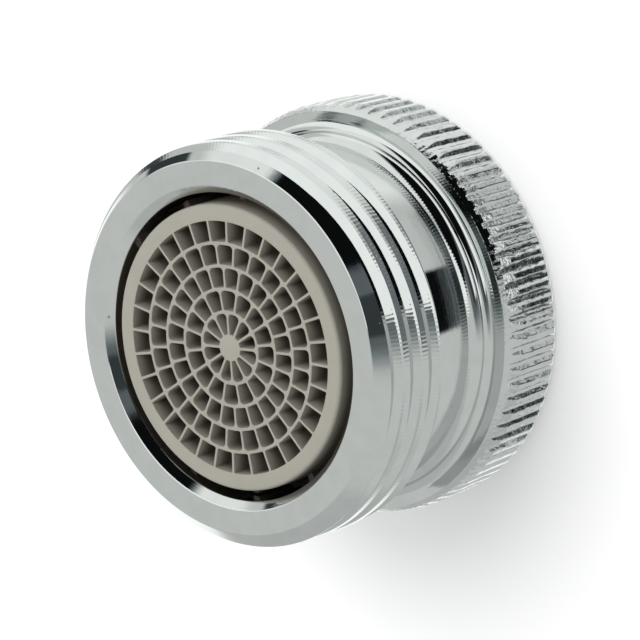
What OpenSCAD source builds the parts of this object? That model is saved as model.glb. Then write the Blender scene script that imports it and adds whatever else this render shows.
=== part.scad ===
/* [Adapter body] */
// Height from the collar's back to the outlet face
body_h = 16.8; // [15.5:0.1:20.5]
// Radius of the bore that the aerator stands in
bore_r = 10.1; // [8.4:0.05:10.3]
// Bevel at the mouth of the bore
bore_bevel = 0.53; // [0.3:0.01:0.8]
// Wall of the turned neck around the socket's seat
seat_wall = 0.65; // [0.5:0.05:0.9]
// Radius of the hollow where the neck meets the collar
neck_cove_r = 1; // [0.8:0.05:1.2]
// How far that hollow sweeps, in degrees
neck_cove_sweep = 60; // [45:1:75]
// Radius of the second hollow, at the foot of the collar face
foot_cove_r = 0.65; // [0.4:0.05:0.8]

/* [Hose thread] */
// Outer radius of the pipe thread, three quarters of an inch nominal
hose_thread_r = 13.22; // [13:0.01:13.25]
// Pitch of the pipe thread, 14 turns to the inch
hose_pitch = 1.814; // [1.75:0.001:1.9]
// Flat left on each crest
hose_crest = 0.72; // [0.5:0.02:0.9]
// Depth of the thread groove
hose_groove_depth = 0.95; // [0.7:0.05:1]
// Angle between the two flanks, in degrees
hose_flank_angle = 55; // [55:1:60]
// Threaded length, from the outlet face to the neck
hose_thread_h = 5.65; // [4.8:0.05:7]
// From the outlet face to the back of the first whole crest
hose_first_crest = 2; // [1.9:0.05:2.2]
// Bevel at the front of the thread
hose_bevel = 0.93; // [0.7:0.01:1.1]
// Length of the slope that ends the thread at the neck
hose_runout = 1.08; // [0.8:0.02:1.5]

/* [Knurled collar] */
// Height of the collar
collar_h = 4.9; // [4.5:0.1:6]
// Radius over the knurl's tips
collar_r = 13.6; // [13.5:0.05:16.5]
// Radial size of the long bevels at both ends of the knurl
collar_bevel_r = 0.35; // [0.2:0.01:0.5]
// Axial size of the same bevels
collar_bevel_h = 1.4; // [1:0.05:1.7]
// Number of straight knurls
knurl_count = 80; // [60:1:96]
// Depth of the knurl
knurl_depth = 0.5; // [0.3:0.02:0.6]
// Flat on each knurl's tip
knurl_tip = 0.3; // [0.1:0.02:0.4]
// Flat at the foot of each groove
knurl_root = 0.1; // [0.05:0.01:0.2]

/* [Tap socket] */
// Depth of the socket, from the collar's back to the ledge
socket_depth = 6.8; // [6.4:0.1:8.2]
// Inner radius of the 22 mm fine thread, to its crests
tap_thread_r = 10.46; // [10.46:0.01:10.5]
// Lead-in bevel at the socket's mouth
tap_leadin = 0.6; // [0.4:0.05:0.8]
// How much wider than the thread the plain seat behind it is
seat_relief = 0.24; // [0.16:0.02:0.3]

/* [Sealing washer] */
// Thickness of the rubber washer
washer_t = 1.8; // [1.4:0.05:1.9]
// Radial width of the washer
washer_w = 2.4; // [1.8:0.1:3]
// Gap between the washer and its seat
washer_gap = 0.08; // [0.05:0.01:0.15]

/* [Aerator housing] */
// Distance of the outlet grid behind the outlet face
grid_setback = 0.22; // [0:0.02:0.6]
// Air gap between the housing's nose and the bore
air_gap = 0.7; // [0.6:0.02:0.8]
// Rounding of the nose's outer edge
nose_round = 0.25; // [0.1:0.05:0.4]
// Wall around the mixing chamber
nose_wall = 0.95; // [0.8:0.05:1.1]
// Wall of the inlet end's barrel
barrel_wall = 1; // [0.85:0.05:1.05]
// Gap between the inlet end's barrel and the bore
barrel_gap = 0.15; // [0.1:0.05:0.3]
// Height of the shoulder that the jet plate seats on, above the ledge
plate_seat_h = 2.7; // [2.6:0.1:3.2]
// Gap between the flange and the socket's seat
flange_gap = 0.3; // [0.1:0.05:0.35]
// Thickness of the flange
flange_t = 0.9; // [0.8:0.05:1.1]
// Number of air slots
slot_count = 8; // [6:1:10]
// Width of an air slot
slot_w = 3.2; // [2:0.1:4]
// Height of an air slot
slot_h = 1.3; // [1:0.1:1.6]
// Rise of the slots above the jet plate's seat
slot_rise = 0.25; // [0.2:0.05:0.5]
// Number of centring ribs
rib_count = 12; // [8:1:16]
// Thickness of a centring rib
rib_t = 0.5; // [0.3:0.05:0.8]
// Gap between a rib and the bore
rib_gap = 0.1; // [0.05:0.01:0.2]
// Drop of the ribs' ends below the outlet face
rib_drop = 1.1; // [0.8:0.1:2]

/* [Outlet grid] */
// Depth of the grid's cells
grid_depth = 3.2; // [2.6:0.1:3.9]
// Radial width of the closed rim around the cells
rim_w = 1.1; // [1:0.02:1.2]
// From the outer edge of the outermost cells to the middle of the first ring wall
rim_cell = 1.45; // [1.35:0.05:1.55]
// From the hub to the middle of the last ring wall
hub_cell = 1.2; // [1.1:0.05:1.3]
// Thickness of the ring walls
ring_wall = 0.28; // [0.2:0.02:0.34]
// Thickness of the spokes between cells
spoke_wall = 0.24; // [0.2:0.02:0.3]
// Radius of the solid hub
hub_r = 1.15; // [1:0.05:1.2]
// Rounding of the cells' outer corners
cell_round = 0.34; // [0.2:0.01:0.35]
// Rounding of the cells' inner corners
cell_round_in = 0.16; // [0.06:0.02:0.18]
// Rounding of the outermost cells' outer corners
cell_round_rim = 0.06; // [0.04:0.01:0.1]

/* [Screens] */
// Thickness of a wire screen
screen_t = 0.3; // [0.24:0.02:0.4]
// Gap between the screens and the chamber wall
screen_gap = 0.1; // [0.05:0.01:0.15]
// Distance from one screen wire to the next
mesh_pitch = 0.9; // [0.8:0.05:1.2]
// Width of a screen wire
mesh_wire = 0.28; // [0.2:0.02:0.35]
// Width of the screens' closed edge
screen_edge = 0.5; // [0.4:0.05:0.8]
// Height of the spacer ring between the screens
spacer_h = 1; // [0.8:0.05:1.2]
// Radial width of the spacer ring
spacer_w = 0.8; // [0.6:0.05:1]

/* [Jet plate] */
// Thickness of the perforated disc
plate_t = 1.2; // [1:0.05:1.2]
// Gap between the disc and the inlet bore
plate_gap = 0.1; // [0.05:0.01:0.15]
// Radial width of the skirt that holds the screens
skirt_w = 0.75; // [0.6:0.05:0.9]
// Radius of a jet hole
jet_r = 0.55; // [0.4:0.05:0.6]
// From the skirt to the outer ring of jets
jet_inset = 1.6; // [1.2:0.1:1.8]
// Radius of the inner ring of jets, as a share of the outer ring's
jet_ring_share = 0.6; // [0.55:0.01:0.7]
// Jets in the inner ring
jet_count_inner = 10; // [6:1:12]
// Jets in the outer ring
jet_count_outer = 18; // [12:1:20]

/* [Filter dome] */
// Height of the dome's rim
dome_rim_h = 1; // [0.8:0.05:1]
// Radial width of the rim
dome_rim_w = 1; // [0.8:0.05:1.2]
// Height of the dome over its rim
dome_rise = 1.8; // [1.4:0.05:1.8]
// Thickness of the dome
dome_t = 0.5; // [0.4:0.05:0.6]
// Radius of a filter hole
dome_hole_r = 0.4; // [0.3:0.02:0.42]
// Distance between rings of filter holes
dome_hole_pitch = 1.3; // [1.2:0.05:1.5]
// Closed edge between the last filter holes and the rim
dome_edge = 0.6; // [0.4:0.05:0.9]

/* [Hidden] */
$fn = 120;

// Height past a face that a cut reaches
past = 1;
// Overlap of a feature with the piece that it grows from
root = 0.1;

// Heights above the collar's back
ledge_z = socket_depth;
grid_z = body_h - grid_setback;
grid_back_z = grid_z - grid_depth;
outlet_screen_z = grid_back_z - screen_t;
spacer_z = outlet_screen_z - spacer_h;
inlet_screen_z = spacer_z - screen_t;
plate_seat_z = ledge_z + plate_seat_h;
plate_z = plate_seat_z - plate_t;
dome_rim_z = plate_z - dome_rim_h;
flange_z = ledge_z - flange_t;
washer_z = flange_z - washer_t;
slot_z = plate_seat_z + slot_rise;
rib_top_z = body_h - rib_drop;
rib_foot_z = slot_z + slot_h + slot_rise;
barrel_top_z = plate_seat_z - slot_rise;
thread_z = body_h - hose_thread_h;

// Radii that follow from the fits
seat_r = tap_thread_r + seat_relief;
neck_r = seat_r + seat_wall;
washer_r = seat_r - washer_gap;
flange_r = seat_r - flange_gap;
barrel_r = bore_r - barrel_gap;
inlet_r = barrel_r - barrel_wall;
nose_r = bore_r - air_gap;
chamber_r = nose_r - nose_wall;
rib_r = bore_r - rib_gap;
grid_r = nose_r - rim_w;
screen_r = chamber_r - screen_gap;
skirt_r = screen_r - skirt_w;
plate_r = inlet_r - plate_gap;

// Neck hollows: the first ends on a sharp ring, the second drops from it to the collar face
cove_x = neck_r + neck_cove_r;
ring_r = cove_x - neck_cove_r * cos(neck_cove_sweep);
ring_z = collar_h + foot_cove_r;
cove_z = ring_z + neck_cove_r * sin(neck_cove_sweep);

// Grid rings, from the hub outwards: how many cells each holds
ring_cells = [12, 16, 24, 28, 32];
rings = len(ring_cells);
ring_pitch = (grid_r - rim_cell - hub_r - hub_cell) / (rings - 2);
// Turn of the grid and of the ribs about the axis
grid_turn = 12.5;
rib_turn = 10;
// Straight stretches on a cell's corners and arcs
corner_steps = 3;
arc_steps = 2;
cove_steps = 8;

function polar(r, a) = [r * cos(a), r * sin(a)];
function arc(center, r, a, b, steps) = [for (i = [0:steps]) center + polar(r, a + (b - a) * i / steps)];

// Outline of one grid cell on the x axis, between two radii and two spokes with rounded corners
function cell_edge(r_corner, c, half) = half - asin((spoke_wall / 2 + c) / r_corner);
function cell(r_in, r_out, half, c_in, c_out) =
    let (
        a_out = cell_edge(r_out - c_out, c_out, half),
        a_in = cell_edge(r_in + c_in, c_in, half),
        p_out = polar(r_out - c_out, a_out),
        p_in = polar(r_in + c_in, a_in)
    )
    concat(
        arc([0, 0], r_out, -a_out, a_out, arc_steps),
        arc(p_out, c_out, a_out, half + 90, corner_steps),
        arc(p_in, c_in, half + 90, a_in + 180, corner_steps),
        arc([0, 0], r_in, a_in, -a_in, arc_steps),
        arc([p_in.x, -p_in.y], c_in, -a_in - 180, -half - 90, corner_steps),
        arc([p_out.x, -p_out.y], c_out, -half - 90, -a_out, corner_steps)
    );

// Outer radius of a ring of cells, and its inner radius; the innermost ring starts at the hub
function ring_out(k) = k == rings - 1 ? grid_r
    : grid_r - rim_cell - ring_pitch * (rings - 2 - k) - ring_wall / 2;
function ring_in(k) = k == 0 ? hub_r : ring_out(k - 1) + ring_wall;

module collar_knurl() {
    tip = 90 * knurl_tip / (PI * collar_r);
    foot_r = collar_r - knurl_depth;
    foot = 90 * knurl_root / (PI * foot_r);
    step = 360 / knurl_count;
    linear_extrude(collar_h)
        polygon([for (i = [0:knurl_count - 1])
            each [polar(collar_r, i * step - tip), polar(collar_r, i * step + tip),
                  polar(foot_r, (i + 0.5) * step - foot), polar(foot_r, (i + 0.5) * step + foot)]]);
}

// The knurled disc inside its turned outline, which runs a little wider than the tips
module collar() {
    edge_r = collar_r - collar_bevel_r;
    wide_r = collar_r + root;
    wide_z = collar_bevel_h * (wide_r - edge_r) / collar_bevel_r;
    intersection() {
        collar_knurl();
        rotate_extrude()
            polygon([[0, 0], [edge_r, 0], [wide_r, wide_z], [wide_r, collar_h - wide_z],
                     [edge_r, collar_h], [0, collar_h]]);
    }
}

// Solid of the neck and the thread, before its groove and before the bore
module neck_and_thread() {
    rotate_extrude()
        polygon(concat(
            [[0, collar_h - past], [ring_r + foot_cove_r, collar_h - past]],
            arc([ring_r + foot_cove_r, ring_z], foot_cove_r, 270, 180, cove_steps),
            arc([cove_x, cove_z], neck_cove_r, 180 + neck_cove_sweep, 180, cove_steps),
            [[neck_r, thread_z - hose_runout], [hose_thread_r, thread_z],
             [hose_thread_r, body_h - hose_bevel], [hose_thread_r - hose_bevel, body_h], [0, body_h]]
        ));
}

// One turn of the thread's groove, drawn as a ring
module hose_groove(z, half_mouth) {
    half_foot = half_mouth - hose_groove_depth * tan(hose_flank_angle / 2);
    half_past = half_mouth + past * tan(hose_flank_angle / 2);
    foot_r = hose_thread_r - hose_groove_depth;
    translate([0, 0, z])
        rotate_extrude()
            polygon([[foot_r, -half_foot], [hose_thread_r + past, -half_past],
                     [hose_thread_r + past, half_past], [foot_r, half_foot]]);
}

module bore() {
    mouth_r = tap_thread_r + tap_leadin;
    rotate_extrude()
        polygon([[0, -past], [mouth_r, -past], [mouth_r, 0], [tap_thread_r, tap_leadin],
                 [tap_thread_r, washer_z], [seat_r, washer_z], [seat_r, ledge_z], [bore_r, ledge_z],
                 [bore_r, body_h - bore_bevel], [bore_r + bore_bevel, body_h],
                 [bore_r + bore_bevel, body_h + past], [0, body_h + past]]);
}

module adapter_body() {
    half_mouth = (hose_pitch - hose_crest) / 2;
    first_groove_z = body_h - hose_first_crest + hose_crest + half_mouth;
    turns = floor((first_groove_z - half_mouth - thread_z) / hose_pitch);
    color("silver")
        difference() {
            union() {
                collar();
                neck_and_thread();
            }
            for (i = [0:turns]) hose_groove(first_groove_z - i * hose_pitch, half_mouth);
            bore();
        }
}

module sealing_washer() {
    color("dimgray")
        translate([0, 0, washer_z])
            difference() {
                cylinder(h = washer_t, r = washer_r);
                translate([0, 0, -past]) cylinder(h = washer_t + 2 * past, r = washer_r - washer_w);
            }
}

module grid_cells() {
    rotate(grid_turn)
        for (k = [0:rings - 1]) {
            step = 360 / ring_cells[k];
            outline = cell(ring_in(k), ring_out(k), step / 2, k == 0 ? cell_round_rim : cell_round_in,
                           k == rings - 1 ? cell_round_rim : cell_round);
            for (i = [0:ring_cells[k] - 1]) rotate((i + 0.5) * step) polygon(outline);
        }
}

// Outer shape of the housing: flange, barrel and nose, with the chamber behind the grid hollowed out
module housing_shell() {
    rotate_extrude()
        polygon(concat(
            [[inlet_r, flange_z], [flange_r, flange_z], [flange_r, ledge_z], [barrel_r, ledge_z],
             [barrel_r, barrel_top_z], [nose_r, barrel_top_z]],
            arc([nose_r - nose_round, grid_z - nose_round], nose_round, 0, 90, corner_steps),
            [[grid_r, grid_z], [grid_r, grid_back_z], [chamber_r, grid_back_z],
             [chamber_r, plate_seat_z], [inlet_r, plate_seat_z]]
        ));
}

module air_slots(inner_r, outer_r) {
    for (i = [0:slot_count - 1])
        rotate(i * 360 / slot_count)
            translate([inner_r, -slot_w / 2, slot_z]) cube([outer_r - inner_r, slot_w, slot_h]);
}

module centring_ribs() {
    for (i = [0:rib_count - 1])
        rotate(rib_turn + i * 360 / rib_count)
            translate([nose_r - root, -rib_t / 2, rib_foot_z])
                cube([rib_r - nose_r + root, rib_t, rib_top_z - rib_foot_z]);
}

module aerator_housing() {
    color("antiquewhite")
        union() {
            difference() {
                housing_shell();
                air_slots(chamber_r - root, nose_r + root);
            }
            centring_ribs();
            translate([0, 0, grid_back_z])
                linear_extrude(grid_depth)
                    difference() {
                        circle(grid_r + root);
                        grid_cells();
                    }
        }
}

module wire_screen() {
    open_r = screen_r - screen_edge;
    hole = mesh_pitch - mesh_wire;
    reach = floor(open_r / mesh_pitch);
    linear_extrude(screen_t)
        difference() {
            circle(screen_r);
            for (i = [-reach:reach], j = [-reach:reach])
                if (norm([abs(i) * mesh_pitch + hole / 2, abs(j) * mesh_pitch + hole / 2]) < open_r)
                    translate([i * mesh_pitch, j * mesh_pitch]) square(hole, center = true);
        }
}

module outlet_screen() {
    color("lightsteelblue") translate([0, 0, outlet_screen_z]) wire_screen();
}

module inlet_screen() {
    color("lightsteelblue") translate([0, 0, inlet_screen_z]) rotate(45) wire_screen();
}

module screen_spacer() {
    color("white")
        translate([0, 0, spacer_z])
            difference() {
                cylinder(h = spacer_h, r = screen_r);
                translate([0, 0, -past]) cylinder(h = spacer_h + 2 * past, r = screen_r - spacer_w);
            }
}

module jets(count, ring_r) {
    for (i = [0:count - 1])
        rotate(i * 360 / count)
            translate([ring_r, 0, plate_z - past]) cylinder(h = plate_t + 2 * past, r = jet_r, $fn = 32);
}

module jet_plate() {
    jet_ring_outer = skirt_r - jet_inset;
    color("gainsboro")
        difference() {
            union() {
                translate([0, 0, plate_z]) cylinder(h = plate_t, r = plate_r);
                translate([0, 0, plate_seat_z - root])
                    difference() {
                        cylinder(h = inlet_screen_z - plate_seat_z + root, r = screen_r);
                        cylinder(h = inlet_screen_z - plate_seat_z + past, r = skirt_r);
                    }
            }
            air_slots(skirt_r - root, screen_r + root);
            jets(jet_count_inner, jet_ring_outer * jet_ring_share);
            jets(jet_count_outer, jet_ring_outer);
        }
}

module filter_dome() {
    foot_r = plate_r - dome_rim_w;
    ball_r = (foot_r * foot_r + dome_rise * dome_rise) / (2 * dome_rise);
    ball_z = dome_rim_z - dome_rise + ball_r;
    sweep = asin(foot_r / ball_r);
    inner_r = ball_r - dome_t;
    inner_sweep = acos((ball_z - dome_rim_z) / inner_r);
    hole_rings = floor((foot_r - dome_edge - dome_hole_r) / dome_hole_pitch);
    color("whitesmoke")
        difference() {
            rotate_extrude()
                polygon(concat(
                    arc([0, ball_z], ball_r, 270, 270 + sweep, 2 * cove_steps),
                    [[plate_r, dome_rim_z], [plate_r, plate_z], [inner_r * sin(inner_sweep), plate_z]],
                    arc([0, ball_z], inner_r, 270 + inner_sweep, 270, 2 * cove_steps)
                ));
            for (k = [0:hole_rings], i = [0:max(6 * k, 1) - 1])
                rotate(i * 360 / max(6 * k, 1))
                    translate([k * dome_hole_pitch, 0, dome_rim_z - dome_rise - past])
                        cylinder(h = dome_rise + dome_t + past, r = dome_hole_r, $fn = 24);
        }
}

adapter_body();
sealing_washer();
aerator_housing();
outlet_screen();
screen_spacer();
inlet_screen();
jet_plate();
filter_dome();
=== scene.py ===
import math
import random
import bmesh
import bpy
from mathutils import Matrix, Vector, noise


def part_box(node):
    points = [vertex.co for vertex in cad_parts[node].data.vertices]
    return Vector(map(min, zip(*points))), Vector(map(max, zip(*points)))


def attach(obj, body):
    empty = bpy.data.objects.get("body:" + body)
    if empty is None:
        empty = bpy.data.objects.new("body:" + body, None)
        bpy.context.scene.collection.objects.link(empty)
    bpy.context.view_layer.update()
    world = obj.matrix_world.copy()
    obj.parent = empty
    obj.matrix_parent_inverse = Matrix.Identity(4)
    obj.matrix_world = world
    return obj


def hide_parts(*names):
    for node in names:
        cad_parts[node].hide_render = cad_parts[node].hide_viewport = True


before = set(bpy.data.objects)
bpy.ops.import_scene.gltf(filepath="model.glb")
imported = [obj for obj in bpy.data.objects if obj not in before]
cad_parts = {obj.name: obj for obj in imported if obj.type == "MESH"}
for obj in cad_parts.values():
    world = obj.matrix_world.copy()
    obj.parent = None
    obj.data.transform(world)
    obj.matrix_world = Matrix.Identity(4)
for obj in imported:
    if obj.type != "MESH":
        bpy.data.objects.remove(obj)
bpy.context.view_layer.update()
MM = 0.001

# Camera
# A long lens looks down into the outlet, 43 degrees off the adapter's axis, and is rolled so that the
# outlet faces the picture's lower left. The middle of the outlet face lands where the photograph has it.
picture_px = 640
lens_px = 10941.6
outlet_px = (227.3, 348.7)
outlet_distance = 0.7
off_axis_deg = 43.4
roll_deg = -107.34
sensor_mm = 36
outlet_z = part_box("adapter_body")[1].z

lean = Matrix.Rotation(math.radians(off_axis_deg), 3, "X")
roll = Matrix.Rotation(math.radians(roll_deg), 3, "Z")
camera_turn = lean @ roll
sight = Vector((outlet_px[0] - picture_px / 2, picture_px / 2 - outlet_px[1], -lens_px)) / lens_px
camera = bpy.data.objects.new("camera", bpy.data.cameras.new("camera"))
camera.data.sensor_width = sensor_mm
camera.data.lens = sensor_mm * lens_px / picture_px
camera.location = Vector((0, 0, outlet_z)) - camera_turn @ sight * outlet_distance
camera.rotation_euler = camera_turn.to_euler()
bpy.context.collection.objects.link(camera)
bpy.context.scene.camera = camera
bpy.context.scene.view_settings.view_transform = "Standard"


# Studio
# A pale table top, a soft lamp and a pale room around them. The chrome mirrors the room, so the room has
# what a product table has: a bright diffuser over the object, and an unlit side where the camera stands.
class Field:
    """One socket of a shader. Arithmetic on it adds Math nodes."""

    def __init__(self, tree, socket=None):
        self.tree = tree
        self.socket = socket

    def node(self, kind, settings, inputs, output=0):
        made = self.tree.nodes.new(kind)
        for name, value in settings.items():
            setattr(made, name, value)
        for name, value in inputs.items():
            if isinstance(value, Field):
                self.tree.links.new(value.socket, made.inputs[name])
            else:
                made.inputs[name].default_value = value
        return Field(self.tree, made.outputs[output]) if made.outputs else None

    def math(self, operation, *values):
        return self.node("ShaderNodeMath", {"operation": operation}, dict(enumerate(values)))

    def __add__(self, other):
        return self.math("ADD", self, other)

    def __radd__(self, other):
        return self.math("ADD", other, self)

    def __sub__(self, other):
        return self.math("SUBTRACT", self, other)

    def __rsub__(self, other):
        return self.math("SUBTRACT", other, self)

    def __mul__(self, other):
        return self.math("MULTIPLY", self, other)

    def __rmul__(self, other):
        return self.math("MULTIPLY", other, self)

    def rise(self, start, end):
        """0 up to start, 1 from end on, and smooth between them."""
        return self.node("ShaderNodeMapRange", {"interpolation_type": "SMOOTHSTEP"},
                         {"Value": self, "From Min": start, "From Max": end})

    def toward(self, target, mask):
        """This value where the mask is 0, and the target where it is 1."""
        return self + (target - self) * mask

    def along(self, direction):
        """How far this vector reaches along a direction."""
        return self.node("ShaderNodeVectorMath", {"operation": "DOT_PRODUCT"}, {0: self, 1: direction},
                         "Value")

    def tinted(self, color_at_0, color_at_1):
        """One colour where this value is 0, and the other where it is 1. The Mix node's colours have no
        names of their own, so they go by number."""
        return self.node("ShaderNodeMix", {"data_type": "RGBA"},
                         {"Factor": self, 6: color_at_0, 7: color_at_1}, 2)


# Where a thing of the room stands is told by how far a ray points along the picture's right, along its up
# and towards the camera. All three are fixed in the room. The camera's foot goes by the table's directions.
picture_right = camera_turn @ Vector((1, 0, 0))
picture_up = camera_turn @ Vector((0, 1, 0))
to_camera = camera_turn @ Vector((0, 0, 1))
gap_direction = camera_turn @ Vector((-0.7, 0.5, -0.5)).normalized()
lens_direction = camera_turn @ Vector((0.02, -0.08, 1)).normalized()

world = bpy.data.worlds.new("room")
bpy.context.scene.world = world
world.use_nodes = True
world.node_tree.nodes.clear()
room = Field(world.node_tree)
ray = room.node("ShaderNodeTexCoord", {}, {}, "Generated")
rightward = ray.along(picture_right)
upward = ray.along(picture_up)
nearward = ray.along(to_camera)
steepness = ray.along((0, 0, 1))
sideways = ray.along((1, 0, 0))
forward = ray.along((0, -1, 0))

diffuser = upward.rise(0.66, 0.72) * nearward.rise(-0.8, -0.7) * (1 - rightward.rise(0.42, 0.6))
backdrop = (1 - nearward.rise(-0.86, -0.74)) * upward.rise(-0.52, -0.38)
below = 1 - steepness.rise(-0.765, -0.745)
side = rightward.rise(0.58, 0.68) * upward.rise(-0.12, 0) * (1 - below) * (1 - nearward.rise(0.08, 0.18))
lower = (1 - nearward.rise(0, 0.3)) * (1 - upward.rise(-0.56, -0.44))
camera_side = nearward.rise(0.8, 0.92) * upward.rise(-0.55, -0.25)
unlit = (nearward.rise(0.28, 0.42) * (upward + rightward * 0.3).rise(0.22, 0.3)
         * (1 - rightward.rise(0.68, 0.78)))
camera_foot = below * sideways.rise(-0.36, -0.33) * (1 - sideways.rise(0.09, 0.12)) * forward.rise(0.4, 0.5)
# A gap behind the diffuser, the dark disc of the lens, and two small soft boxes beside it
gap = ray.along(gap_direction).rise(0.976, 0.986)
lens = ray.along(lens_direction).rise(0.982, 0.99)
left_box = ((1 - (rightward + upward).rise(-0.02, 0.06)) * upward.rise(-0.25, -0.2)
            * nearward.rise(-0.1, 0.05) * (1 - rightward.rise(-0.16, -0.09)))
right_box = rightward.rise(0.7, 0.78) * nearward.rise(0.12, 0.22) * upward.rise(-0.1, 0)

wall_level = 0.69
backdrop_level = 1.2
diffuser_level = 1.03
box_level = 1.15
side_level = 0.2
lower_level = 0.56
camera_side_level = 0.15
unlit_level = 0.005
gap_level = 0.05
lens_level = 0.05
level = wall_level + (backdrop_level - wall_level) * backdrop
# Each thing hides the ones before it
for thing_level, thing in ((diffuser_level, diffuser), (side_level, side), (lower_level, lower),
                           (gap_level, gap), (camera_side_level, camera_side), (unlit_level, unlit),
                           (unlit_level, camera_foot), (lens_level, lens), (box_level, left_box),
                           (box_level, right_box)):
    level = level.toward(thing_level, thing)
dim_tint = (0.86, 1, 1.06, 1)
lit_tint = (0.985, 1, 0.985, 1)
shine = room.node("ShaderNodeBackground", {},
                  {"Color": level.rise(0, 0.6).tinted(dim_tint, lit_tint), "Strength": level})
room.node("ShaderNodeOutputWorld", {}, {"Surface": shine})

lamp_data = bpy.data.lights.new("soft_lamp", "AREA")
lamp_data.shape = "DISK"
lamp_data.size = 0.22
lamp_data.energy = 0.42
lamp = bpy.data.objects.new("soft_lamp", lamp_data)
lamp.location = Vector((0.13, -0.05, 0.28))
lamp.rotation_euler = (-lamp.location).to_track_quat("-Z", "Y").to_euler()
lamp.visible_glossy = False
bpy.context.collection.objects.link(lamp)


def material(name):
    """A new material with an empty node tree, and the field that adds nodes to it."""
    made = bpy.data.materials.new(name)
    made.use_nodes = True
    made.node_tree.nodes.clear()
    return made, Field(made.node_tree)


table_half = 1.5
table_glow = 0.17
table_white = (0.93, 0.93, 0.93, 1)
# The table top lies a hair lower than the adapter's back, so that the two don't share a plane
table_gap = 0.00003
table_bm = bmesh.new()
bmesh.ops.create_grid(table_bm, x_segments=1, y_segments=1, size=table_half)
table_mesh = bpy.data.meshes.new("table_top")
table_bm.to_mesh(table_mesh)
table_bm.free()
table_top = bpy.data.objects.new("table_top", table_mesh)
bpy.context.collection.objects.link(table_top)
table_top.location.z = -table_gap
table_top.visible_glossy = False
table_paint, table = material("table_paint")
paper = table.node("ShaderNodeBsdfDiffuse", {}, {"Color": table_white})
seen = table.node("ShaderNodeLightPath", {}, {}, "Is Camera Ray")
glow = table.node("ShaderNodeEmission", {}, {"Strength": seen * table_glow})
white = table.node("ShaderNodeAddShader", {}, {0: paper, 1: glow})
table.node("ShaderNodeOutputMaterial", {}, {"Surface": white})
table_mesh.materials.append(table_paint)


# Adapter body
# Turned from brass bar: a knurled collar to grip, a neck, and a pipe thread that a hose nut screws onto.
# The bore holds the aerator. It is plated with bright chrome, which shows every cutting mark, burr and nick.
def arc(center, radius, start_deg, end_deg, steps):
    turns = [math.radians(start_deg + (end_deg - start_deg) * i / steps) for i in range(steps + 1)]
    return [(center[0] + radius * math.cos(a), center[1] + radius * math.sin(a)) for a in turns]


def softened(outline, size, steps=2, least_turn_deg=20, edge_share=0.4):
    """The closed outline with its sharp corners rounded, and its curves left alone."""
    soft = []
    for before, here, after in zip(outline[-1:] + outline[:-1], outline, outline[1:] + outline[:1]):
        corner = Vector(here)
        back = Vector(before) - corner
        ahead = Vector(after) - corner
        if math.pi - back.angle(ahead) < math.radians(least_turn_deg):
            soft.append(here)
            continue
        cut = min(size, edge_share * back.length, edge_share * ahead.length)
        first = corner + back.normalized() * cut
        last = corner + ahead.normalized() * cut
        for i in range(steps + 1):
            t = i / steps
            soft.append(tuple(first * (1 - t) ** 2 + corner * 2 * t * (1 - t) + last * t * t))
    return soft


def turned(outline, steps):
    """A closed outline of radii and heights, spun round the axis."""
    bm = bmesh.new()
    points = [bm.verts.new((r, 0, z)) for r, z in outline]
    edges = [bm.edges.new(pair) for pair in zip(points, points[1:] + points[:1])]
    bmesh.ops.spin(bm, geom=points + edges, cent=(0, 0, 0), axis=(0, 0, 1), dvec=(0, 0, 0),
                   angle=math.tau, steps=steps, use_merge=True)
    bmesh.ops.recalc_face_normals(bm, faces=bm.faces)
    return bm


def threaded(outline, pitch, turns, steps_per_turn):
    """A closed outline screwed round the axis, open ends closed, as the path of a cutting tool."""
    bm = bmesh.new()
    points = [bm.verts.new((r, 0, z)) for r, z in outline]
    edges = [bm.edges.new(pair) for pair in zip(points, points[1:] + points[:1])]
    bmesh.ops.spin(bm, geom=points + edges, cent=(0, 0, 0), axis=(0, 0, 1),
                   dvec=(0, 0, pitch / steps_per_turn), angle=math.tau * turns,
                   steps=round(steps_per_turn * turns), use_merge=False)
    ends = [e for e in bm.edges if e.is_boundary]
    bmesh.ops.holes_fill(bm, edges=ends, sides=0)
    bmesh.ops.recalc_face_normals(bm, faces=bm.faces)
    return bm


def carved(body, tool, operation="DIFFERENCE"):
    """The body with the tool cut out of it, or joined to it."""
    holders = []
    for part in (body, tool):
        mesh = bpy.data.meshes.new("blank")
        part.to_mesh(mesh)
        part.free()
        holder = bpy.data.objects.new("blank", mesh)
        bpy.context.collection.objects.link(holder)
        holders.append(holder)
    cut = holders[0].modifiers.new("cut", "BOOLEAN")
    cut.operation = operation
    cut.solver = "MANIFOLD"
    cut.object = holders[1]
    graph = bpy.context.evaluated_depsgraph_get()
    result = bmesh.new()
    result.from_mesh(holders[0].evaluated_get(graph).to_mesh())
    for holder in holders:
        mesh = holder.data
        bpy.data.objects.remove(holder)
        bpy.data.meshes.remove(mesh)
    return result


def coated(field, settings):
    """Ends a material in one Principled shader with the given sockets."""
    shader = field.node("ShaderNodeBsdfPrincipled", {}, settings)
    field.node("ShaderNodeOutputMaterial", {}, {"Surface": shader})


def finished(bm, name, finish, node, sharp_deg=30):
    """Makes the piece an object at full size, which rides with the adapter and stands for a node."""
    bmesh.ops.scale(bm, vec=(MM, MM, MM), verts=bm.verts)
    mesh = bpy.data.meshes.new(name)
    bm.to_mesh(mesh)
    bm.free()
    mesh.shade_smooth()
    mesh.set_sharp_from_angle(angle=math.radians(sharp_deg))
    mesh.materials.append(finish)
    made = bpy.data.objects.new(name, mesh)
    bpy.context.collection.objects.link(made)
    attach(made, "root")
    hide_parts(node)


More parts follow.
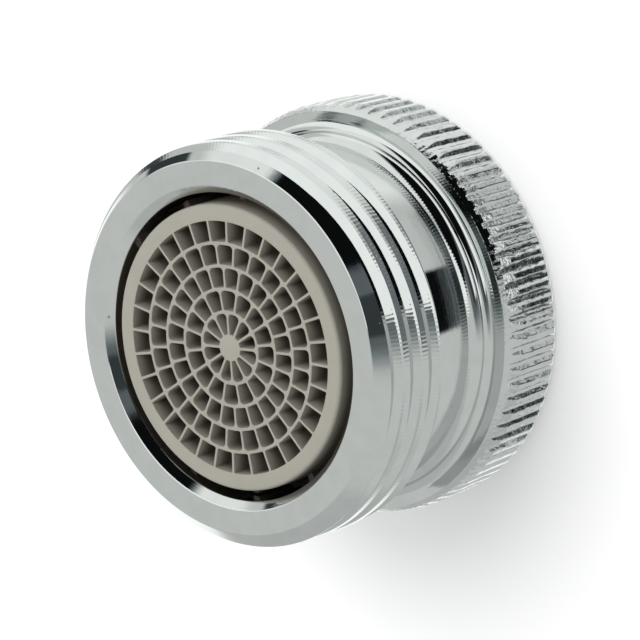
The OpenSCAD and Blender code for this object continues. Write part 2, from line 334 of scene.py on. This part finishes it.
body_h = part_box("adapter_body")[1].z / MM
collar_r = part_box("adapter_body")[1].x / MM
bore_r = 10.1
bore_bevel = 0.53
ledge_z = 6.8
seat_r = 10.7
seat_z = 4.1
tap_thread_r = 10.46
tap_leadin = 0.6
hose_r = 13.22
hose_bevel = 0.93
hose_root_z = body_h - 5.65
neck_r = 11.35
neck_top_r = 11.56
runout_h = 1.08
collar_h = 4.9
collar_core_r = 12.65
ring_r = 11.85
ring_z = 5.55
foot_cove_r = 0.65
foot_cove_steps = 16
neck_cove_r = 1
neck_cove_sweep = 60
neck_cove_steps = 12
neck_cove_z = ring_z + neck_cove_r * math.sin(math.radians(neck_cove_sweep))
edge_round = 0.045
lathe_steps = 360

body_bm = turned(softened(
    [(collar_core_r, 0), (collar_core_r, collar_h)]
    + arc((ring_r + foot_cove_r, ring_z), foot_cove_r, 270, 180, foot_cove_steps)
    + arc((neck_r + neck_cove_r, neck_cove_z), neck_cove_r, 180 + neck_cove_sweep, 180, neck_cove_steps)[1:]
    + [(neck_top_r, hose_root_z - runout_h), (hose_r, hose_root_z), (hose_r, body_h - hose_bevel),
       (hose_r - hose_bevel, body_h), (bore_r + bore_bevel, body_h), (bore_r, body_h - bore_bevel),
       (bore_r, ledge_z), (seat_r, ledge_z), (seat_r, seat_z), (tap_thread_r, seat_z),
       (tap_thread_r, tap_leadin), (tap_thread_r + tap_leadin, 0)], edge_round), lathe_steps)

# The hose thread, one helix cut by a tool with the outline of its groove
hose_pitch = 1.814
hose_crest = 0.72
hose_turns = 5
hose_steps = 240
groove_depth = 0.7
groove_crest_z = 14.802
turns_below = 3
flank = math.tan(math.radians(35))
# The upper edge of each crest is worn to a shallow slope, which the tool carries on past the surface
worn_depth = 0.045
worn_w = 0.18
past_surface = 1.4
tool_reach = 0.55
half_mouth = (hose_pitch - hose_crest) / 2
half_foot = half_mouth - (groove_depth - worn_depth) * flank
worn_half = half_mouth + worn_w * past_surface
groove_z = groove_crest_z - half_mouth - turns_below * hose_pitch
foot_r = hose_r - groove_depth
hose_tool = threaded(
    [(foot_r, groove_z - half_foot), (hose_r - worn_depth, groove_z - half_mouth),
     (hose_r + worn_depth * (past_surface - 1), groove_z - worn_half),
     (hose_r + tool_reach, groove_z - worn_half), (hose_r + tool_reach, groove_z + half_mouth),
     (hose_r, groove_z + half_mouth), (foot_r, groove_z + half_foot)],
    hose_pitch, hose_turns, hose_steps)
body_bm = carved(body_bm, hose_tool)

# The tap's thread inside the socket
tap_pitch = 1
tap_turns = 4.9
tap_steps = 180
tap_depth = 0.54
tap_root_half = 0.06
tap_mouth_half = 0.44
tap_tool_r = tap_thread_r - 0.2
tap_start_z = -1
tap_tool = threaded(
    [(tap_tool_r, tap_start_z - tap_mouth_half), (tap_tool_r, tap_start_z + tap_mouth_half),
     (tap_thread_r + tap_depth, tap_start_z + tap_root_half),
     (tap_thread_r + tap_depth, tap_start_z - tap_root_half)],
    tap_pitch, tap_turns, tap_steps)
body_bm = carved(body_bm, tap_tool)

# The knurled skin of the collar, made as a sleeve that is joined to the core
collar_edge_r = collar_r - 0.41
collar_bevel_h = 1.4
collar_taper = 0.05
collar_back_h = 0.35
collar_back_drop = 0.12
chamfer_h = 0.5
chamfer_r = collar_r - 0.12
knurl_count = 80
knurl_step = math.tau / knurl_count
knurl_depth = 0.24
sleeve_overlap = 0.25
# Shares of one knurl, from the middle of one tip to the middle of the next: where its points stand, and
# how far the flat foot of its groove and the groove itself reach to either side of the middle
knurl_places = (0, 0.08, 0.15, 0.2, 0.25, 0.31, 0.38, 0.45, 0.5, 0.55, 0.62, 0.69, 0.75, 0.8, 0.85, 0.92)
groove_flat = 0.12
groove_half_w = 0.37
knurl_steps = knurl_count * len(knurl_places)
knurl_rows = 34
front_crowding = 1.4
crown = 0.008
tip_wave = 0.02
pit = 0.013
fine_pit = pit * 0.7
wander = 0.04
rim_clear = 0.001


def collar_surface(z):
    """Radius over the knurl's tips: rounded at the back, a long bevel and a short chamfer in front."""
    bevel_z = collar_h - collar_bevel_h
    chamfer_z = collar_h - chamfer_h
    if z > chamfer_z:
        return chamfer_r + (collar_edge_r - chamfer_r) * (z - chamfer_z) / chamfer_h
    if z > bevel_z:
        return collar_r + (chamfer_r - collar_r) * (z - bevel_z) / (chamfer_z - bevel_z)
    return collar_r - collar_taper * (bevel_z - z) - collar_back_drop * max(0, 1 - z / collar_back_h) ** 2


def groove_root(z):
    """Radius at the foot of the grooves, which stay straight and run out at both ends."""
    return collar_r - knurl_depth - collar_taper * max(0, collar_h - collar_bevel_h - z)


rows = [collar_h * (1 - (1 - i / knurl_rows) ** front_crowding) for i in range(knurl_rows + 1)]
knurl_bm = turned([(collar_core_r - sleeve_overlap, 0)] + [(collar_r, z) for z in rows]
                  + [(collar_core_r - sleeve_overlap, collar_h)], knurl_steps)
# The factors inside each noise say how fast it changes from knurl to knurl, across one and along the axis
for vert in knurl_bm.verts:
    if math.hypot(vert.co.x, vert.co.y) < collar_core_r:
        continue
    step = round(math.atan2(vert.co.y, vert.co.x) / math.tau * knurl_steps) % knurl_steps
    number = step // len(knurl_places)
    across = knurl_places[step % len(knurl_places)]
    z = vert.co.z
    from_tip = min(across, 1 - across) / (0.5 - groove_half_w)
    from_foot = abs(across - 0.5) / groove_flat
    climb = max(0, abs(across - 0.5) - groove_flat) / (groove_half_w - groove_flat)
    tip_r = collar_surface(z) - tip_wave + tip_wave * noise.noise(Vector((number * 1.7, 0, z * 0.3)))
    radius = min(tip_r - crown * min(from_tip, 1) ** 2,
                 groove_root(z) + crown * min(from_foot, 1) ** 2 + knurl_depth * climb)
    mark = Vector((number * 3.1 + across * 5, z * 3.7, 0))
    radius += pit * (noise.noise(mark) - 0.3) + fine_pit * noise.noise(mark * 2.7)
    radius = min(radius, collar_r - rim_clear)
    sway = noise.noise(Vector((number * 2.3, z * 1.9, across * 2)))
    turn = (number + across + wander * sway) * knurl_step
    vert.co.x = radius * math.cos(turn)
    vert.co.y = radius * math.sin(turn)
body_bm = carved(body_bm, knurl_bm, "UNION")

# Plating burrs on the bore's edge
random.seed(7)
burr_turns = (-37, -3)
burr_count = 15
burr_z = body_h - 0.06
burr_bm = bmesh.new()
for i in range(burr_count):
    turn = burr_turns[0] + (burr_turns[1] - burr_turns[0]) * (i + random.uniform(0.2, 0.8)) / burr_count
    size = random.uniform(0.02, 0.045)
    place = Matrix.Rotation(math.radians(turn), 4, "Z") @ Matrix.Translation(
        (bore_r + bore_bevel - random.uniform(0, 0.07), 0, burr_z))
    shape = Matrix.Diagonal((size, size * random.uniform(2, 4.5), size, 1))
    bmesh.ops.create_icosphere(burr_bm, subdivisions=1, radius=1, matrix=place @ shape)
body_bm = carved(body_bm, burr_bm, "UNION")

# Nicks from handling: angle, radius, height, size
nicks = (
    (-113, 12.31, body_h, 0.09), (-151.5, 12.56, body_h - 0.27, 0.1), (-34.5, 12.56, body_h - 0.27, 0.15),
    (-55.5, hose_r, 14.45, 0.13), (27, 12.31, body_h, 0.12), (36, 12.31, body_h, 0.08),
    (66, 10.37, body_h - 0.27, 0.09), (54, 12.33, body_h - 0.02, 0.09), (-140, 12.84, collar_h, 0.07),
    (-96, 12.9, body_h - 0.6, 0.06), (-64, 12.32, body_h, 0.06), (101, 12.34, body_h - 0.02, 0.08),
    (-78, hose_r, 12.63, 0.08), (-141, hose_r, 14.1, 0.08), (160, 12.31, body_h, 0.07))
nick_stand = 0.45
nick_bm = bmesh.new()
for turn, r, z, size in nicks:
    place = Matrix.Rotation(math.radians(turn), 4, "Z") @ Matrix.Translation(
        (r + size * nick_stand, 0, z + size * nick_stand))
    tilt = Matrix.Rotation(random.uniform(0, math.pi), 4, "Y")
    shape = Matrix.Diagonal((size, size * random.uniform(0.5, 1.1), size, 1))
    bmesh.ops.create_icosphere(nick_bm, subdivisions=2, radius=1, matrix=place @ tilt @ shape)
body_bm = carved(body_bm, nick_bm)

# How high the marks in the plating stand
micron = 0.000001
lathe_relief = 1.6 * micron
peel_relief = 1.2 * micron
speck_relief = 24 * micron
thread_chatter = 5
neck_chatter = 4
chatter_count = 300
chatter_drift = 9
plate_dim = (0.645, 0.675, 0.663, 1)
plate_bright = (0.68, 0.705, 0.695, 1)
chrome, plate = material("bright_chrome")
spot = plate.node("ShaderNodeTexCoord", {}, {}, "Object")
height = spot.along((0, 0, 1))
flat = plate.node("ShaderNodeVectorMath", {"operation": "MULTIPLY"}, {0: spot, 1: (1, 1, 0)})
from_axis = plate.node("ShaderNodeVectorMath", {"operation": "LENGTH"}, {0: flat}, "Value")
around = plate.math("ARCTAN2", spot.along((0, 1, 0)), spot.along((1, 0, 0)))
cloud = plate.node("ShaderNodeTexNoise", {}, {"Vector": spot, "Scale": 700, "Detail": 3})
lathe_lines = plate.node("ShaderNodeTexNoise", {"noise_dimensions": "1D"},
                         {"W": from_axis + height * 1.3, "Scale": 9000, "Detail": 3})
orange_peel = plate.node("ShaderNodeTexNoise", {}, {"Vector": spot, "Scale": 2600, "Detail": 2})
specks = plate.node("ShaderNodeTexNoise", {},
                    {"Vector": spot, "Scale": 4200, "Detail": 2, "Roughness": 0.55})
# Faint in the thread's grooves, full on its crests, and none outside the thread
on_thread = ((0.2 + 0.8 * from_axis.rise(0.0131, 0.0132)) * from_axis.rise(0.0123, 0.0125)
             * height.rise(0.0108, 0.0111) * (1 - height.rise(0.0157, 0.0159)))
at_neck_foot = (height.rise(0.0058, 0.0061) * (1 - height.rise(0.0067, 0.0071))
                * (1 - from_axis.rise(0.0117, 0.0118)))
on_knurl = from_axis.rise(0.01295, 0.0131) * (1 - height.rise(0.00486, 0.0049))
chatter = plate.math("SINE", around * chatter_count + cloud * chatter_drift) * cloud
relief = lathe_lines * lathe_relief + orange_peel * peel_relief
relief = relief + chatter * (on_thread * thread_chatter + at_neck_foot * neck_chatter) * micron
relief = relief + specks * on_knurl * speck_relief
bump = plate.node("ShaderNodeBump", {}, {"Height": relief, "Strength": 1, "Distance": 1}, "Normal")
coated(plate, {"Base Color": cloud.rise(0.3, 0.7).tinted(plate_dim, plate_bright), "Metallic": 1,
               "Roughness": 0.03 + cloud * 0.03 + on_knurl * 0.06, "Normal": bump})
finished(body_bm, "chromed_body", chrome, "adapter_body", sharp_deg=8)


# Sealing washer
# A flat ring punched from black rubber. It lies on the cartridge's flange in the socket, and the end of the
# tap's spout presses on it.
def flat_ring(outer_r, width, low_z, high_z, rounding, corner_steps=3, steps=160):
    """A plain ring with rounded edges."""
    inner_r = outer_r - width
    return turned(softened([(inner_r, low_z), (outer_r, low_z), (outer_r, high_z), (inner_r, high_z)],
                           rounding, corner_steps), steps)


washer_low, washer_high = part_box("sealing_washer")
washer_w = 2.4
washer_round = 0.14
washer_bm = flat_ring(washer_high.x / MM, washer_w, washer_low.z / MM, washer_high.z / MM, washer_round)
rubber, sheet = material("black_rubber")
spot = sheet.node("ShaderNodeTexCoord", {}, {}, "Object")
bloom = sheet.node("ShaderNodeTexNoise", {}, {"Vector": spot, "Scale": 900, "Detail": 5})
black = bloom.rise(0.35, 0.75).tinted((0.02, 0.02, 0.021, 1), (0.05, 0.05, 0.05, 1))
skin = sheet.node("ShaderNodeTexNoise", {}, {"Vector": spot, "Scale": 6000, "Detail": 2})
bump = sheet.node("ShaderNodeBump", {}, {"Height": skin, "Strength": 0.5, "Distance": 0.00003}, "Normal")
coated(sheet, {"Base Color": black, "Roughness": 0.5 + bloom * 0.25, "Normal": bump})
finished(washer_bm, "rubber_washer", rubber, "sealing_washer")


# Aerator housing
# Moulded from grey-beige plastic: a barrel with a flange that sits on the body's ledge, air slots, ribs that
# centre it in the bore, and a grid of small cells that lets the water out in a soft stream.
grid_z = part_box("aerator_housing")[1].z / MM
grid_depth = 3.2
grid_r = 8.3
grid_root = 0.3
nose_r = 9.4
nose_round = 0.25
nose_steps = 6
chamber_r = 8.45
barrel_r = 9.95
barrel_top_z = 9.25
inlet_r = 8.95
flange_r = 10.4
flange_z = 5.9
plate_seat_z = 9.5
moulded_round = 0.08
housing_steps = 240

housing_bm = turned(softened(
    [(inlet_r, flange_z), (flange_r, flange_z), (flange_r, ledge_z), (barrel_r, ledge_z),
     (barrel_r, barrel_top_z), (nose_r, barrel_top_z)]
    + arc((nose_r - nose_round, grid_z - nose_round), nose_round, 0, 90, nose_steps)
    + [(grid_r, grid_z), (grid_r, grid_z - grid_depth), (chamber_r, grid_z - grid_depth),
       (chamber_r, plate_seat_z), (inlet_r, plate_seat_z)], moulded_round), housing_steps)
grid_bm = bmesh.new()
bmesh.ops.create_cone(grid_bm, cap_ends=True, cap_tris=False, segments=housing_steps,
                      radius1=grid_r + grid_root, radius2=grid_r + grid_root, depth=grid_depth,
                      matrix=Matrix.Translation((0, 0, grid_z - grid_depth / 2)))
housing_bm = carved(housing_bm, grid_bm, "UNION")

ring_cells = (12, 16, 24, 28, 32)
ring_pitch = 1.5
ring_wall = 0.21
spoke_wall = 0.18
hub_r = 0.88
rim_cell = 1.45
corner_r = 0.27
inner_corner_r = 0.12
sharp_corner_r = 0.06
corner_steps = 4
mouth_round = 0.04
draft = 0.05
grid_turn_deg = 12.5
core_below = 0.5
core_above = 0.3


def cell_outline(r_in, r_out, half_deg, c_in, c_out):
    """Corner arcs and curved ends of one cell, which points along X."""
    a_out = half_deg - math.degrees(math.asin((spoke_wall / 2 + c_out) / (r_out - c_out)))
    a_in = half_deg - math.degrees(math.asin((spoke_wall / 2 + c_in) / (r_in + c_in)))
    p_out = arc((0, 0), r_out - c_out, a_out, a_out, 1)[0]
    p_in = arc((0, 0), r_in + c_in, a_in, a_in, 1)[0]
    outer_end = arc((0, 0), r_out, -a_out, a_out, corner_steps)[1:-1]
    inner_end = arc((0, 0), r_in, a_in, -a_in, corner_steps)[1:-1]
    upper = (arc(p_out, c_out, a_out, half_deg + 90, corner_steps)
             + arc(p_in, c_in, half_deg + 90, a_in + 180, corner_steps))
    return outer_end + upper + inner_end + [(x, -y) for x, y in reversed(upper)]


def grown_outline(outline, grow):
    """The same outline, moved outwards by a small distance."""
    moved = []
    for before, here, after in zip(outline[-1:] + outline[:-1], outline, outline[1:] + outline[:1]):
        along = Vector(after) - Vector(before)
        moved.append(Vector(here) + Vector((along.y, -along.x)).normalized() * grow)
    return moved


# How far one cell's core stands out at each height: it widens a little towards the outlet, and flares there
# to round the cell's mouth
core_levels = [(-draft, grid_z - grid_depth - core_below), (0, grid_z - mouth_round)]
core_levels += [(mouth_round * (1 - math.cos(t)), grid_z - mouth_round + mouth_round * math.sin(t))
                for t in (math.radians(30), math.radians(60), math.radians(90))]
core_levels += [(mouth_round, grid_z + core_above)]
cell_tool = bmesh.new()
for k, count in enumerate(ring_cells):
    last = k == len(ring_cells) - 1
    rings_outside = len(ring_cells) - 1 - k
    r_out = grid_r if last else grid_r - rim_cell - ring_pitch * (rings_outside - 1) - ring_wall / 2
    r_in = hub_r if k == 0 else grid_r - rim_cell - ring_pitch * rings_outside + ring_wall / 2
    half = 180 / count
    outline = cell_outline(r_in, r_out, half, sharp_corner_r if k == 0 else inner_corner_r,
                           sharp_corner_r if last else corner_r)
    for i in range(count):
        spin = Matrix.Rotation(math.radians(grid_turn_deg + (2 * i + 1) * half), 3, "Z")
        loops = []
        for grow, z in core_levels:
            points = [cell_tool.verts.new(spin @ Vector((*p, z))) for p in grown_outline(outline, grow)]
            loops.append([cell_tool.edges.new(pair) for pair in zip(points, points[1:] + points[:1])])
        for low, high in zip(loops, loops[1:]):
            bmesh.ops.bridge_loops(cell_tool, edges=low + high)
        for loop in (loops[0], loops[-1]):
            bmesh.ops.contextual_create(cell_tool, geom=loop)
bmesh.ops.recalc_face_normals(cell_tool, faces=cell_tool.faces)
housing_bm = carved(housing_bm, cell_tool)


def radial_blocks(count, turn_deg, inner, outer, width, low, high, rounding=0.06):
    """Blocks that stand round the axis, as ribs or as cutters for slots."""
    bm = bmesh.new()
    for i in range(count):
        turn = Matrix.Rotation(math.radians(turn_deg) + math.tau * i / count, 4, "Z")
        size = Matrix.Diagonal((outer - inner, width, high - low, 1))
        bmesh.ops.create_cube(bm, size=1, matrix=turn @ Matrix.Translation(
            ((inner + outer) / 2, 0, (low + high) / 2)) @ size)
    bmesh.ops.bevel(bm, geom=bm.edges, offset=rounding, segments=2, affect="EDGES", profile=0.5, material=-1)
    return bm


slot_count = 8
slot_w = 3.2
slot_z = (9.75, 11.05)
slot_reach = 0.2
rib_count = 12
rib_turn_deg = 10
rib_w = 0.5
rib_r = 10
rib_root_r = nose_r - 0.1
rib_z = (11.3, body_h - 2.1)
slots = radial_blocks(slot_count, 0, chamber_r - slot_reach, nose_r + slot_reach, slot_w, *slot_z)
housing_bm = carved(housing_bm, slots)
ribs = radial_blocks(rib_count, rib_turn_deg, rib_root_r, rib_r, rib_w, *rib_z)
housing_bm = carved(housing_bm, ribs, "UNION")

# The cells' walls are painted darker with depth: a painted shade for the light that doesn't reach down there
shade_depth = 1.3
shade_start = 0.02
cell_shade = (0.125, 0.098, 0.082, 1)
housing_plastic, resin = material("grey_beige_plastic")
spot = resin.node("ShaderNodeTexCoord", {}, {}, "Object")
cloud = resin.node("ShaderNodeTexNoise", {}, {"Vector": spot, "Scale": 600, "Detail": 4})
face_color = cloud.tinted((0.345, 0.33, 0.285, 1), (0.4, 0.38, 0.325, 1))
deep = 1 - spot.along((0, 0, 1)).rise((grid_z - shade_depth) * MM, (grid_z - shade_start) * MM)
grain = resin.node("ShaderNodeTexNoise", {}, {"Vector": spot, "Scale": 4500, "Detail": 3})
bump = resin.node("ShaderNodeBump", {}, {"Height": grain, "Strength": 0.35, "Distance": 0.00002}, "Normal")
coated(resin, {"Base Color": deep.tinted(face_color, cell_shade), "Roughness": 0.42 + cloud * 0.2,
               "Normal": bump})
finished(housing_bm, "aerator_grid_housing", housing_plastic, "aerator_housing")


# Wire screens
# Two discs of plain-woven stainless wire in a pressed rim, which break the jets into bubbles. The second
# lies turned by an eighth, under a ring that keeps the two apart.
wire_pitch = 0.6
wire_r = 0.07
wire_sides = 6
steps_per_pitch = 2
rim_w = 0.45
rim_round = 0.1
screen_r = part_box("outlet_screen")[1].x / MM
screen_t = (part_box("outlet_screen")[1].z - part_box("outlet_screen")[0].z) / MM


def wire_screen(low_z, turn_deg):
    """Wires over and under each other, cut to the disc, with the rim round them."""
    woven_r = screen_r - rim_w / 2
    count = int(woven_r / wire_pitch)
    crosswise = Matrix.Rotation(math.pi / 2, 3, "Z")
    spin = Matrix.Rotation(math.radians(turn_deg), 3, "Z")
    bm = bmesh.new()
    for way in (0, 1):
        for i in range(-count, count + 1):
            offset = i * wire_pitch
            half = math.sqrt(woven_r ** 2 - offset ** 2)
            steps = max(2, round(steps_per_pitch * 2 * half / wire_pitch))
            wire = bmesh.ops.create_grid(bm, x_segments=steps, y_segments=wire_sides, size=1)["verts"]
            for vert in wire:
                turn = math.pi * vert.co.y
                along = vert.co.x * half
                weave = wire_r * math.cos(math.pi * (along / wire_pitch + i + way))
                vert.co = Vector((along, offset + wire_r * math.cos(turn), weave + wire_r * math.sin(turn)))
            if way:
                bmesh.ops.rotate(bm, cent=(0, 0, 0), verts=wire, matrix=crosswise)
            bmesh.ops.remove_doubles(bm, verts=wire, dist=wire_r / 10)
    bmesh.ops.holes_fill(bm, edges=[e for e in bm.edges if e.is_boundary], sides=0)
    bmesh.ops.recalc_face_normals(bm, faces=bm.faces)
    rim = flat_ring(screen_r, rim_w, -screen_t / 2, screen_t / 2, rim_round, corner_steps=2, steps=120)
    mesh = bpy.data.meshes.new("rim")
    rim.to_mesh(mesh)
    rim.free()
    bm.from_mesh(mesh)
    bpy.data.meshes.remove(mesh)
    bmesh.ops.rotate(bm, cent=(0, 0, 0), verts=bm.verts, matrix=spin)
    bmesh.ops.translate(bm, vec=(0, 0, low_z + screen_t / 2), verts=bm.verts)
    return bm


steel, drawn = material("stainless_wire")
spot = drawn.node("ShaderNodeTexCoord", {}, {}, "Object")
stain = drawn.node("ShaderNodeTexNoise", {}, {"Vector": spot, "Scale": 1200, "Detail": 4})
grey = stain.rise(0.3, 0.7).tinted((0.3, 0.29, 0.27, 1), (0.5, 0.5, 0.49, 1))
coated(drawn, {"Base Color": grey, "Metallic": 1, "Roughness": 0.3 + stain * 0.2})
for node, name, turn_deg in (("outlet_screen", "outlet_wire_screen", 0),
                             ("inlet_screen", "inlet_wire_screen", 45)):
    finished(wire_screen(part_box(node)[0].z / MM, turn_deg), name, steel, node)


# Screen spacer
# A plain ring moulded from white plastic, with rounded edges. It drops into the cartridge between the two
# screens and keeps them apart.
def moulded_plastic(name, dark, light, roughness):
    """Plain moulded plastic with faint clouds and a fine satin grain."""
    made, field = material(name)
    spot = field.node("ShaderNodeTexCoord", {}, {}, "Object")
    cloud = field.node("ShaderNodeTexNoise", {}, {"Vector": spot, "Scale": 500, "Detail": 4})
    color = cloud.rise(0.25, 0.75).tinted((*dark, 1), (*light, 1))
    grain = field.node("ShaderNodeTexNoise", {}, {"Vector": spot, "Scale": 5000, "Detail": 2})
    bump = field.node("ShaderNodeBump", {}, {"Height": grain, "Strength": 0.3, "Distance": 0.00002},
                      "Normal")
    coated(field, {"Base Color": color, "Roughness": roughness + cloud * 0.15, "Normal": bump})
    return made


spacer_low, spacer_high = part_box("screen_spacer")
spacer_w = 0.8
spacer_round = 0.1
spacer_bm = flat_ring(spacer_high.x / MM, spacer_w, spacer_low.z / MM, spacer_high.z / MM, spacer_round)
white_plastic = moulded_plastic("white_plastic", (0.6, 0.6, 0.58), (0.68, 0.68, 0.66), 0.35)
finished(spacer_bm, "white_spacer_ring", white_plastic, "screen_spacer")


# Jet plate
# A moulded plastic disc with two rings of fine jets. Its skirt reaches up to the screens, and slots in the
# skirt let in the air that the jets draw along.
def drills(rings, middle_z, point_r, shank_r, depth, sides):
    """Drills along the axis, in rings that each have a count and a radius."""
    bm = bmesh.new()
    for count, ring in rings:
        for i in range(count):
            place = Matrix.Rotation(math.tau * i / count, 4, "Z") @ Matrix.Translation((ring, 0, middle_z))
            bmesh.ops.create_cone(bm, cap_ends=True, segments=sides, radius1=point_r, radius2=shank_r,
                                  depth=depth, matrix=place)
    return bm


jet_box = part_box("jet_plate")
plate_r = jet_box[1].x / MM
plate_z = jet_box[0].z / MM
plate_middle_z = plate_z + 0.6
skirt_top_z = jet_box[1].z / MM
skirt_w = 0.75
skirt_reach = 0.1
jet_r = 0.55
jet_depth = 2.4
jet_funnel = 0.25
jet_rings = ((10, 3.6), (18, 6))
jet_sides = 24
# The outline stays just off the axis and leaves a pin-hole there, whose crowded points are merged
pole_r = 0.02
pole_merge = 0.005
plain_steps = 180
jet_bm = turned(softened(
    [(pole_r, plate_z), (plate_r, plate_z), (plate_r, plate_seat_z), (screen_r, plate_seat_z),
     (screen_r, skirt_top_z), (screen_r - skirt_w, skirt_top_z), (screen_r - skirt_w, plate_seat_z),
     (pole_r, plate_seat_z)], moulded_round), plain_steps)
bmesh.ops.remove_doubles(jet_bm, verts=jet_bm.verts, dist=pole_merge)
jet_bm = carved(jet_bm, drills(jet_rings, plate_middle_z, jet_r, jet_r, jet_depth, jet_sides))
jet_bm = carved(jet_bm, drills(jet_rings, plate_z, jet_r + 2 * jet_funnel, jet_r, 2 * jet_funnel, jet_sides))
jet_bm = carved(jet_bm, radial_blocks(
    slot_count, 0, screen_r - skirt_w - skirt_reach, screen_r + skirt_reach, slot_w, *slot_z))
pale_plastic = moulded_plastic("pale_grey_plastic", (0.46, 0.46, 0.45), (0.54, 0.54, 0.52), 0.4)
finished(jet_bm, "jet_plate_with_skirt", pale_plastic, "jet_plate")


# Filter dome
# A thin moulded strainer, snapped on over the jet plate, whose holes keep grit out of the jets. It bulges
# towards the tap and is what shows in the socket from behind.
dome_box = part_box("filter_dome")
dome_r = dome_box[1].x / MM
dome_z = (dome_box[0].z / MM, dome_box[1].z / MM)
dome_rim_h = 1
dome_rim_w = 1
dome_t = 0.5
dome_steps = 20
dome_hole_r = 0.4
dome_hole_pitch = 1.3
dome_hole_rings = 5
dome_hole_sides = 20
dome_rim_z = dome_z[1] - dome_rim_h
dome_rise = dome_rim_z - dome_z[0]
foot = dome_r - dome_rim_w
ball_r = (foot ** 2 + dome_rise ** 2) / (2 * dome_rise)
ball_z = dome_z[0] + ball_r
sweep = math.degrees(math.asin(foot / ball_r))
inner_sweep = math.degrees(math.acos((ball_z - dome_rim_z) / (ball_r - dome_t)))
inner_foot = (ball_r - dome_t) * math.sin(math.radians(inner_sweep))
# The bowl stays just off the axis too, where the middle hole takes its pin-hole away
pole_deg = 0.03
dome_bm = turned(softened(
    arc((0, ball_z), ball_r, 270 + pole_deg, 270 + sweep, dome_steps)
    + [(dome_r, dome_rim_z), (dome_r, dome_z[1]), (inner_foot, dome_z[1])]
    + arc((0, ball_z), ball_r - dome_t, 270 + inner_sweep, 270 + pole_deg, dome_steps),
    moulded_round), plain_steps)
bmesh.ops.remove_doubles(dome_bm, verts=dome_bm.verts, dist=pole_merge)
# One hole in the middle, and rings of 6, 12, 18 and so on round it
dome_rings = [(max(6 * k, 1), k * dome_hole_pitch) for k in range(dome_hole_rings + 1)]
drill_z = dome_rim_z - 1
drill_h = dome_rise + 3
dome_bm = carved(dome_bm, drills(dome_rings, drill_z, dome_hole_r, dome_hole_r, drill_h, dome_hole_sides))
off_white_plastic = moulded_plastic("off_white_plastic", (0.58, 0.58, 0.54), (0.68, 0.68, 0.64), 0.35)
finished(dome_bm, "filter_dome_strainer", off_white_plastic, "filter_dome")

bpy.context.view_layer.update()
